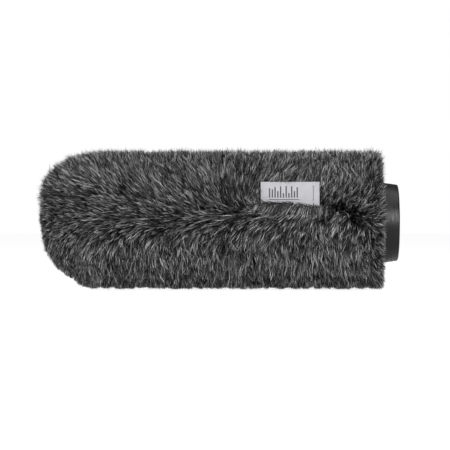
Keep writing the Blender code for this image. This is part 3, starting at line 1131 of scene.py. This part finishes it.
    def finish_strands(self, spine: Array, tone: Array, draw: np.random.Generator) -> Strands:
        """Keep the strands inside the coat and off the collar, label and floor.

        Args:
            spine: The strands' points from the axis.
            tone: Their greys.
            draw: Where random numbers come from.

        Returns:
            The strands, in the row frame.
        """
        m = self.measures
        root, tip = spine[:, :1], spine[:, -1:]
        below, normals = self.shell.snap(tip)
        stand = np.maximum(dot(tip - below, normals), 1e-6)
        stray = self.longest_stray * draw.random((len(spine), 1, 1))
        stray = stray * (1.0 - self.rear_neatness * np.maximum(normals[..., :1], 0.0))
        most = self.coat_depth(below, normals) + stray
        spine = root + (spine - root) * np.clip(most / stand, 0.2, 1.0)
        spine = self.label_space.clear(spine)
        radial = unit(spine * (0.0, 1.0, 1.0))
        height = np.linalg.norm(spine[..., 1:], axis=-1, keepdims=True)
        lowest = np.where(spine[..., :1] > m.hem_x - 0.004, m.foam_radius + 0.0006, 0.0)
        spine = spine + radial * np.maximum(lowest - height, 0.0)
        return self.ribbons(self.off_floor(spine + (0.0, 0.0, m.axis_height), draw), tone, draw)

    def off_floor(self, spine: Array, draw: np.random.Generator) -> Array:
        """Shorten the strands that would reach the floor, to an uneven edge of small points."""
        root = spine[:, :1]
        points_down = WaveNoise(self.seed + 3, 0.0045).at(root[:, 0] * (1.0, 0.0, 0.0))[:, None, None]
        low = self.floor_gap + self.floor_trim * np.clip(0.5 + 0.5 * points_down, 0.0, 1.0)
        low = low + self.floor_ragged * draw.random((len(spine), 1, 1))
        drop = np.maximum(root[..., 2:] - spine[:, -1:, 2:], 1e-6)
        spine = root + (spine - root) * np.clip((root[..., 2:] - low) / drop, 0.2, 1.0)
        spine[..., 2] = np.maximum(spine[..., 2], self.floor_gap)
        return spine

    def ribbons(self, spine: Array, tone: Array, draw: np.random.Generator) -> Strands:
        """Give each strand a width across its course, roughly flat on the coat."""
        along = unit(np.gradient(spine, axis=1))
        outward = self.shell.snap(spine - (0.0, 0.0, self.measures.axis_height))[1]
        turn = draw.uniform(-1.1, 1.1, (len(spine), 1, 1))
        flat = unit(np.cross(along, outward) + 0.3 * draw.normal(size=(len(spine), 1, 3)))
        across = flat * np.cos(turn) + np.cross(along, flat) * np.sin(turn)
        across = unit(across - dot(across, along) * along)
        width = self.strand_width * draw.uniform(0.7, 1.3, len(spine))
        return Strands(spine, across, width, tone)

    def underfur(self, panel: Panel) -> bpy.types.Mesh:
        """The dense fur of one panel, between its backing and the long strands.

        Its outside is the shell plus noise, sunk along the seam.
        """
        m = self.measures
        outer = self.shell.profile(180)
        inner = Shell(m.foam_radius + 0.0018, m.dome_x, m.hem_x - 0.0075, 0.001).profile(180)
        inner[-1] = outer[-1]
        outside, inside = half_turned(outer, panel, 121), half_turned(inner, panel, 121)
        groove = self.seam_groove * (1.0 - smoothstep(0.0, 0.004, np.abs(outside[..., 2])))
        rough = self.underfur_rough * WaveNoise(self.seed + 7, 0.006).at(outside)
        rough = rough - self.underfur_sunk - groove
        fade = smoothstep(0.0, 0.01, outer[-1, 0] - outside[..., 0])
        outside = outside + self.shell.snap(outside)[1] * (rough * fade)[..., None]
        loops = in_seam_plane(np.concatenate([outside, inside[:, ::-1]], axis=1), panel, m.seam_angle)
        loops = self.label_space.clear(loops)
        loops[..., 2] += m.axis_height
        faces = grid_faces(len(outer), loops.shape[1], False, True)
        mesh = mesh_from(f"underfur_{panel.value}", loops.reshape(-1, 3), faces)
        weld(mesh)
        return mesh

    def fringe(self) -> Strands:
        """The hairs that lie over the label's lower edge.

        They grow in front of the fold line, rise over it and fall away towards the nose, or
        straight down at the label's rear corner. Each is the curve (1 - t)^2 A + 2 t (1 - t) B
        + t^2 C of its root A, a point B above the fold line and its tip C.

        Returns:
            The strands, in the row frame.
        """
        draw = np.random.default_rng(self.seed + 9)
        m, space, count = self.measures, self.label_space, self.fringe_strands
        span = m.label_high_x - m.label_low_x
        along = draw.uniform(-0.05, 1.12, count) + 0.07 * draw.normal(size=count)
        rear = smoothstep(0.6, 1.0, along)
        sweep = (1.0 - 0.85 * rear) * draw.uniform(0.006, 0.014, count)
        root_up = draw.uniform(-0.0055, -0.0020, count)
        top_up = 0.0085 - 0.0030 * rear + 0.0022 * draw.normal(size=count)
        tip_up = draw.uniform(-0.0060, 0.0005, count) - 0.0025 * rear
        sides = np.stack([np.zeros(count), -0.35 * sweep, -sweep])
        ups = np.stack([root_up, top_up, tip_up])
        top_out = 0.0035 + 0.0012 * draw.random(count)
        outs = np.stack([0.0012 - 0.6 * root_up, top_out, 0.0040 - 0.35 * tip_up])
        t = np.linspace(0.0, 1.0, self.strand_points)
        shares = np.stack([(1.0 - t) ** 2, 2.0 * t * (1.0 - t), t**2])
        x = (m.label_low_x + span * along)[:, None] + sides.T @ shares
        x_only = np.stack([x, np.zeros_like(x), np.zeros_like(x)], axis=-1)
        spine = space.fold_world + x_only + (ups.T @ shares)[..., None] * space.up
        spine = spine + (outs.T @ shares)[..., None] * space.out
        return self.ribbons(spine, self.tones(spine[:, 0], np.arange(count) // 5, draw), draw)

    def build(self) -> None:
        """Add the underfur and the strands, in pieces small enough to keep whole."""
        strands = self.grow()
        roots = strands.spine[:, 0] - (0.0, 0.0, self.measures.axis_height)
        slope = self.measures.seam_angle
        above_seam = roots[:, 2] * math.cos(slope) + roots[:, 1] * math.sin(slope) > 0.0
        for panel in Panel:
            node = f"fur_pile_{panel.value}"
            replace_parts(add_piece(self.underfur(panel), UnderfurFinish()), node)
            mine = np.flatnonzero(above_seam == (panel is Panel.UPPER))
            order = mine[np.argsort(roots[mine, 0], kind="stable")]
            for band, chosen in zip(Band, np.array_split(order, len(Band))):
                name = f"fur_{panel.value}_{band.value}"
                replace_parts(add_piece(strands.mesh(name, chosen), StrandFinish()), node)
                log.info("%s: %d strands", name, len(chosen))
        self.add_fringe()

    def add_fringe(self) -> None:
        """Add the hairs over the label's lower edge, as one piece on no body."""
        fringe = self.fringe()
        mesh = fringe.mesh("fur_label_fringe", np.arange(len(fringe.tone)))
        piece = add_piece(mesh, StrandFinish(), None)
        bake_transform(piece)
        log.info("fur_label_fringe: %d strands", len(fringe.tone))


# Collar, core, backing and label ---------------------------------------------------------------
@dataclass(frozen=True)
class Collar:
    """The moulded rubber collar, turned about the axis from its rear face forwards."""

    measures: Measures
    turns: int = 240
    body: float = 0.028
    taper_length: float = 0.013
    rear_radius: float = 0.0272
    wall: float = 0.0032
    edge: float = 0.0012
    spigot_length: float = 0.018
    spigot_radius: float = 0.0215
    spigot_wall: float = 0.0022
    web_recess: float = 0.0045
    web_thickness: float = 0.0028
    grip_radius: float = 0.0095
    grip_length: float = 0.026
    grip_wall: float = 0.0028
    grip_drop: float = 0.0012
    lips: int = 3
    lip_height: float = 0.0009
    lip_half_width: float = 0.0012
    ribs: int = 8
    rib_width: float = 0.0016
    rib_drop: float = 0.0018

    def outline(self) -> Array:
        """The collar's section as rounded corners (x from the rear face, radius)."""
        foam = self.measures.foam_radius
        rim_inner = self.rear_radius - self.wall
        web_rear, web_front = -self.web_recess, -self.web_recess - self.web_thickness
        bore = self.grip_radius + self.lip_height
        grip_outer = bore + self.grip_wall
        grip_rear, grip_front = -self.grip_drop, -self.grip_drop - self.grip_length
        spigot_front = -self.body - self.spigot_length
        fine, soft = 0.0004, self.edge
        corners = [
            (0.0, rim_inner, fine), (0.0, self.rear_radius, soft),
            (-self.taper_length, foam, 0.004), (-self.body, foam, fine),
            (-self.body, self.spigot_radius, fine), (spigot_front, self.spigot_radius, soft),
            (spigot_front, self.spigot_radius - self.spigot_wall, fine),
            (web_front, self.spigot_radius - self.spigot_wall, fine),
            (web_front, grip_outer, fine), (grip_front, grip_outer, fine), (grip_front, bore, fine),
        ]
        pitch = self.grip_length / (self.lips + 1)
        for number in range(1, self.lips + 1):
            lip = grip_front + pitch * number
            corners += [
                (lip - self.lip_half_width, bore, 0.0003), (lip, self.grip_radius, fine),
                (lip + self.lip_half_width, bore, 0.0003),
            ]
        corners += [
            (grip_rear, bore, fine), (grip_rear, grip_outer, fine),
            (web_rear, grip_outer, fine), (web_rear, rim_inner, fine),
        ]
        table = np.array(corners)
        return rounded(table[:, :2], table[:, 2])

    def build(self) -> None:
        """Turn the section, and raise the ribs out of the web.

        Between the grip sleeve and the rim, every point of a rib's columns stands at least as
        far back as the rib's top.
        """
        points = turned(self.outline(), self.turns)
        radius = np.linalg.norm(points[..., 1:], axis=-1)
        angle = np.arctan2(points[..., 2], points[..., 1])
        inner = self.grip_radius + self.lip_height + self.grip_wall
        outer = self.rear_radius - self.wall
        in_web = (radius > inner - 1e-6) & (radius < outer + 1e-6)
        in_web &= points[..., 0] > -self.web_recess - 1e-6
        middle = (inner + outer) / 2
        in_rib = from_column(angle + math.pi / self.ribs, self.ribs) < self.rib_width / (2 * middle)
        lifted = np.maximum(points[..., 0], -self.rib_drop)
        points[..., 0] = np.where(in_web & in_rib, lifted, points[..., 0])
        points += (self.measures.collar_rear_x, 0.0, self.measures.axis_height)
        faces = grid_faces(*points.shape[:2], True, True)
        mesh = mesh_from("moulded_collar", points.reshape(-1, 3), faces)
        weld(mesh)
        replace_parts(add_piece(mesh, RubberFinish()), "rubber_collar")
        log.info("moulded_collar: %d faces", len(mesh.polygons))


@dataclass(frozen=True)
class FoamCore:
    """The slotted foam tube and the domed foam nose."""

    measures: Measures
    turns: int = 144
    bore_radius: float = 0.0110
    slots: int = 6
    slot_half_angle: float = math.radians(9.0)
    slot_radius: float = 0.0205
    slot_setback: float = 0.010
    gap: float = 0.0003

    def build(self) -> None:
        """Add both pieces."""
        self.tube()
        self.nose()

    def add(self, name: str, node: str, points: Array, close: bool) -> None:
        """Weld a turned grid into a piece that stands for its node."""
        points = points + (0.0, 0.0, self.measures.axis_height)
        mesh = mesh_from(name, points.reshape(-1, 3), grid_faces(*points.shape[:2], close, True))
        weld(mesh)
        piece = add_piece(mesh, FoamFinish())
        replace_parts(piece, node)
        log.info("%s: %d faces", name, len(mesh.polygons))

    def tube(self) -> None:
        """The tube: in the slots' columns the bore's wall moves out to the slots' radius."""
        low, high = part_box("foam_tube")
        collar = Collar(self.measures)
        socket = collar.spigot_radius + self.gap
        socket_end = high[0] - collar.spigot_length - self.gap
        slot_end = socket_end - self.slot_setback
        radius = self.measures.foam_radius
        outline = np.array([
            (high[0], socket), (high[0], radius), (low[0], radius), (low[0], self.bore_radius),
            (slot_end, self.bore_radius), (slot_end + 0.0015, self.bore_radius),
            (socket_end, self.bore_radius), (socket_end, socket),
        ])
        points = turned(rounded(outline, 0.0005), self.turns)
        out = np.linalg.norm(points[..., 1:], axis=-1, keepdims=True)
        angle = np.arctan2(points[..., 2], points[..., 1])
        in_slot = from_column(angle, self.slots) < self.slot_half_angle
        in_slot &= points[..., 0] <= slot_end + 1e-6
        grown = np.where(in_slot[..., None], np.maximum(out, self.slot_radius), out)
        points[..., 1:] *= grown / out
        self.add("slotted_foam_tube", "foam_tube", points, True)

    def nose(self) -> None:
        """The nose: a flat back, a short straight side and a hemisphere."""
        low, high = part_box("foam_nose")
        radius = self.measures.foam_radius
        rise = np.linspace(math.pi / 2, 0.0, 32)[:, None]
        dome = np.concatenate([low[0] + radius * (1.0 - np.sin(rise)), radius * np.cos(rise)], axis=1)
        back = [(high[0], radius), (high[0], radius - 0.004), (high[0], 0.0)]
        dome = np.concatenate([dome[::-1], back])
        self.add("domed_foam_nose", "foam_nose", turned(dome, self.turns), False)


@dataclass(frozen=True)
class Lining:
    """The knitted backing panels and the tape that binds their hem."""

    measures: Measures
    inner: float = 0.0003
    thickness: float = 0.0012
    tape_thickness: float = 0.0008

    def build(self) -> None:
        """Add the two panels and the tape."""
        m = self.measures
        for panel in Panel:
            self.panel(panel)
        low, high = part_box("hem_tape")
        inner = (high[2] - low[2]) / 2 - self.tape_thickness
        outline = np.array([
            (low[0], inner), (high[0], inner),
            (high[0], inner + self.tape_thickness), (low[0], inner + self.tape_thickness),
        ])
        points = turned(rounded(outline, 0.0003), 160) + (0.0, 0.0, m.axis_height)
        faces = grid_faces(*points.shape[:2], True, True)
        mesh = mesh_from("twill_hem_tape", points.reshape(-1, 3), faces)
        weld(mesh)
        tape = add_piece(mesh, TapeFinish())
        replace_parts(tape, "hem_tape")
        around = math.tau * (inner + self.tape_thickness / 2)
        log.info("twill_hem_tape: %.0f mm round", around * 1000.0)

    def panel(self, panel: Panel) -> None:
        """One knitted half, cut to its own arc and length and stretched over the foam."""
        m = self.measures
        node = f"fur_backing_{panel.value}"
        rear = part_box(node)[1][0]
        inside = m.foam_radius + self.inner
        shells = [Shell(inside + grow, m.dome_x, rear, 1e-6) for grow in (self.thickness, 0.0)]
        halves = [half_turned(shell.profile(120), panel, 61) for shell in shells]
        loops = np.concatenate([halves[0], halves[1][:, ::-1]], axis=1)
        loops = in_seam_plane(loops, panel, m.seam_angle)
        loops[..., 2] += m.axis_height
        faces = grid_faces(*loops.shape[:2], False, True)
        mesh = mesh_from(f"knitted_backing_{panel.value}", loops.reshape(-1, 3), faces)
        close_end(mesh, len(loops) - 1, loops.shape[1])
        weld(mesh)
        piece = add_piece(mesh, KnitFinish())
        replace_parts(piece, node)


@dataclass(frozen=True)
class WovenLabel:
    """The woven label: a tail sewn into the seam, a fold and a free flap."""

    measures: Measures
    space: LabelSpace
    thickness: float = 0.00036
    bend: float = 0.0013
    bow: float = 0.0007
    columns: int = 72
    rows: int = 64

    def course(self) -> tuple[Array, Array]:
        """The label's middle line in the plane across the axis, and its normals.

        It runs out along the seam, turns through the fold on a smooth curve, and runs up the
        flap: its heading goes from the tail's to the flap's as the cubic 3t^2 - 2t^3 of the
        way through the fold.

        Returns:
            Places from the axis and unit normals, each of shape (rows, 3).
        """
        m = self.measures
        tail_start = m.foam_radius + 0.0026
        fold_radius = float(np.linalg.norm(self.space.fold))
        tail = fold_radius - tail_start
        run = np.linspace(-tail, self.space.height, self.rows)
        share = smoothstep(-self.bend, self.bend, run)[:, None]
        outwards = self.space.fold / fold_radius
        heading = unit((1.0 - share) * outwards + share * self.space.up)
        steps = np.diff(run)[:, None] * (heading[1:] + heading[:-1]) / 2
        places = np.concatenate([np.zeros((1, 3)), np.cumsum(steps, axis=0)])
        places += self.space.fold + self.space.up * self.space.height - places[-1]
        return places, unit(np.cross(heading, (1.0, 0.0, 0.0)))

    def build(self) -> None:
        """Add the label, folded at its fold line, as one piece on no body.

        The front face runs from the tail's end to the free edge and the back face returns, half
        the thickness to each side; both meet at the side edges. The flap bows out a little
        over its width.
        """
        m, space = self.measures, self.space
        places, normals = self.course()
        over = np.linspace(0.0, 1.0, self.columns)
        face = np.concatenate([over[:1], over, over[-1:]])
        half = np.full(len(face), self.thickness / 2)
        half[[0, -1]] = 0.0
        x = m.label_low_x + (m.label_high_x - m.label_low_x) * face
        x[1], x[-2] = x[0] + self.thickness / 2, x[-1] - self.thickness / 2
        rise = np.clip((places - space.fold) @ space.up / space.height, 0.0, 1.0)
        bow = self.bow * rise[:, None] * (4.0 * face * (1.0 - face) - 0.4)[None]
        middle = places[:, None] + normals[:, None] * bow[..., None]
        middle[..., 0] = x
        run = np.linspace(0.0, 0.5, self.rows)
        tail_edge = (np.arange(self.rows) > 0)[:, None, None]
        shift = normals[:, None] * half[None, :, None] * tail_edge
        sides = [middle + shift, middle - shift]
        points = np.concatenate([sides[0], sides[1][::-1]])
        points[..., 2] += m.axis_height
        v = np.concatenate([run * 0.98, 1.0 - run[::-1] * 0.98])
        u = (x - x[0]) / (x[-1] - x[0])
        faces = grid_faces(len(points), len(face), False, False)
        mesh = mesh_from("woven_label", points.reshape(-1, 3), faces)
        uv = np.stack(np.broadcast_arrays(u[None], v[:, None]), axis=-1).reshape(-1, 2)
        layer = mesh.uv_layers.new(name=BAKE_MAP)
        layer.uv.foreach_set("vector", uv[faces.ravel()].astype(np.float32).ravel())
        weld(mesh)
        piece = add_piece(mesh, LabelFinish(), None)
        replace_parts(piece, "label_flap", "label_tail")
        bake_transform(piece)


# Studio --------------------------------------------------------------------------------------
@dataclass(frozen=True)
class Studio:
    """A white floor, soft light and the camera."""

    measures: Measures
    view_width: float = 0.3222
    lens: float = 206.0
    sensor: float = 36.0
    aim: tuple[float, float] = (0.0058, 0.0466)
    room_light: float = 0.12
    floor_glow: float = 0.93
    floor_light: float = 0.5

    def camera(self) -> None:
        """Stand the camera level, square to the windscreen's side."""
        data = bpy.data.cameras.new("camera")
        data.lens = self.lens
        data.sensor_width = self.sensor
        made = bpy.data.objects.new("camera", data)
        distance = self.view_width * self.lens / self.sensor
        made.location = (self.aim[0], -distance, self.aim[1])
        made.rotation_euler = (math.radians(90.0), 0.0, 0.0)
        bpy.context.scene.collection.objects.link(made)
        bpy.context.scene.camera = made

    def seen(self, tree: bpy.types.NodeTree, lit: float, looked_at: float) -> Socket:
        """A strength with one value where the stage is looked at and another for its light."""
        path = tree.nodes.new("ShaderNodeLightPath")
        strength = tree.nodes.new("ShaderNodeMapRange")
        strength.inputs["To Min"].default_value = lit
        strength.inputs["To Max"].default_value = looked_at
        tree.links.new(path.outputs["Is Camera Ray"], strength.inputs["Value"])
        return strength.outputs["Result"]

    def floor(self) -> None:
        """A wide white floor."""
        side = 12.0
        corners = np.array([(-1, -1, 0), (1, -1, 0), (1, 1, 0), (-1, 1, 0)]) * side
        mesh = mesh_from("floor", corners.astype(float), np.array([[0, 1, 2, 3]]), smooth=False)
        paper = Nodes("white_floor")
        paper.put(Base_Color=(0.35, 0.35, 0.35, 1.0), Roughness=0.95, Specular_IOR_Level=0.0)
        paper.put(Emission_Color=(1.0, 1.0, 1.0, 1.0))
        glow = self.seen(paper.tree, self.floor_light, self.floor_glow)
        paper.link(glow, paper.shader.inputs["Emission Strength"])
        mesh.materials.append(paper.made)
        made = bpy.data.objects.new("floor", mesh)
        bpy.context.scene.collection.objects.link(made)

    def light(self, name: str, place: tuple, size: float, power: float) -> None:
        """A square soft light that faces the windscreen."""
        data = bpy.data.lights.new(name, "AREA")
        data.shape = "SQUARE"
        data.size = size
        data.energy = power
        made = bpy.data.objects.new(name, data)
        made.location = place
        towards = Vector((0.0, 0.0, self.measures.axis_height)) - Vector(place)
        made.rotation_mode = "QUATERNION"
        made.rotation_quaternion = towards.to_track_quat("-Z", "Y")
        bpy.context.scene.collection.objects.link(made)

    def world(self) -> None:
        """Surroundings that look white and light the windscreen dimly."""
        made = bpy.data.worlds.new("white_room")
        made.use_nodes = True
        background = made.node_tree.nodes["Background"]
        background.inputs["Color"].default_value = (1.0, 1.0, 1.0, 1.0)
        seen = self.seen(made.node_tree, self.room_light, 1.0)
        made.node_tree.links.new(seen, background.inputs["Strength"])
        bpy.context.scene.world = made

    def build(self) -> None:
        """Set up the whole studio."""
        self.camera()
        self.floor()
        self.world()
        self.light("top_softbox", (-0.1, -0.25, 1.6), 2.4, 34.0)
        self.light("front_softbox", (0.9, -1.4, 0.56), 0.9, 22.0)
        self.light("left_softbox", (-1.5, -0.6, 0.5), 1.0, 14.0)
        bpy.context.scene.view_settings.view_transform = "Standard"


def dress_nodes() -> None:
    """Give the carried-over threads their finish."""
    finishes = {
        "seam_thread": ThreadFinish(),
        "hem_thread": ThreadFinish(),
    }
    for name, finish in finishes.items():
        for place in frame["nodes"][name].material_slots:
            place.material = finish.material()


def corners(box: tuple) -> list[list[float]]:
    """A box's two corners as plain lists."""
    return [[float(value) for value in corner] for corner in box]


def main() -> None:
    """Build the windscreen's pieces and its studio."""
    logging.basicConfig(level=logging.INFO, format="%(name)s: %(message)s")
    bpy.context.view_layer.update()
    measures = Measures.read()
    Studio(measures).build()
    dress_nodes()
    Collar(measures).build()
    FoamCore(measures).build()
    Lining(measures).build()
    WovenLabel(measures, LabelSpace(measures)).build()
    FurCover(measures).build()


if __name__ == "__main__":
    main()
